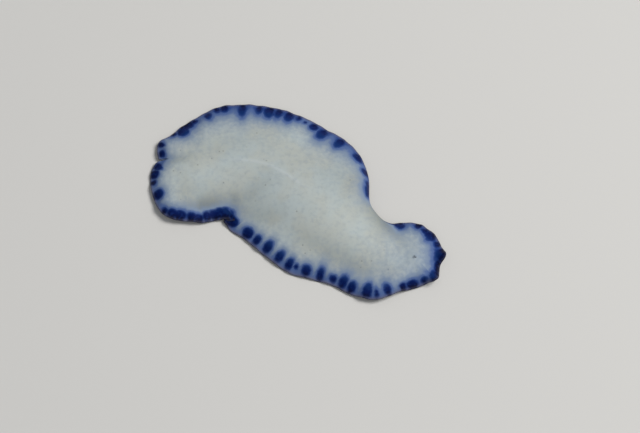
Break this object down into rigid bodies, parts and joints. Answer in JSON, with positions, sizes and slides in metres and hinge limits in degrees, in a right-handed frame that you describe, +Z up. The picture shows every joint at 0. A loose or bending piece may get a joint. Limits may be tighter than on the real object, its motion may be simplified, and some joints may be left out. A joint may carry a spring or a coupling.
{
  "type": "pseudoceros indicus flatworm, still life-size model",
  "caption": "White marine flatworm with a blue-spotted ruffled margin and two folded pseudotentacles, bent in a loose S, lying flat.",
  "frame": {"origin": "under the middle of the footprint, on the level that the animal lies on", "axes": "+X towards the head end, +Y towards the side that the animal's left faces, +Z up off the animal's back"},
  "size_m": [0.0284, 0.0202, 0.0024],
  "materials": {
    "body_skin": "soft wet flesh, greyish white with a satin sheen",
    "margin_skin": "wet flesh, deep blue spots on pale blue",
    "tentacle_skin": "wet flesh, deep blue",
    "eye_pigment": "dark grey pigment under a moist surface",
    "underside_skin": "plain pale flesh"
  },
  "bodies": {
    "root": {"tail": "body_skin", "hind_body": "body_skin", "mid_body": "body_skin", "fore_body": "body_skin", "neck": "body_skin", "head": "body_skin", "margin_left_lobe": "margin_skin", "margin_left_tail": "margin_skin", "margin_left_hind": "margin_skin", "margin_left_mid": "margin_skin", "margin_left_fore": "margin_skin", "margin_left_neck": "margin_skin", "margin_left_head": "margin_skin", "pseudotentacle_left": "tentacle_skin", "margin_front": "margin_skin", "pseudotentacle_right": "tentacle_skin", "margin_right_head": "margin_skin", "margin_right_neck": "margin_skin", "margin_right_fore": "margin_skin", "margin_right_mid": "margin_skin", "margin_right_hind": "margin_skin", "margin_right_tail": "margin_skin", "margin_right_lobe": "margin_skin", "cerebral_eyes": "eye_pigment", "ventral_sucker": "underside_skin", "mouth": "underside_skin"}
  },
  "joints": []
}
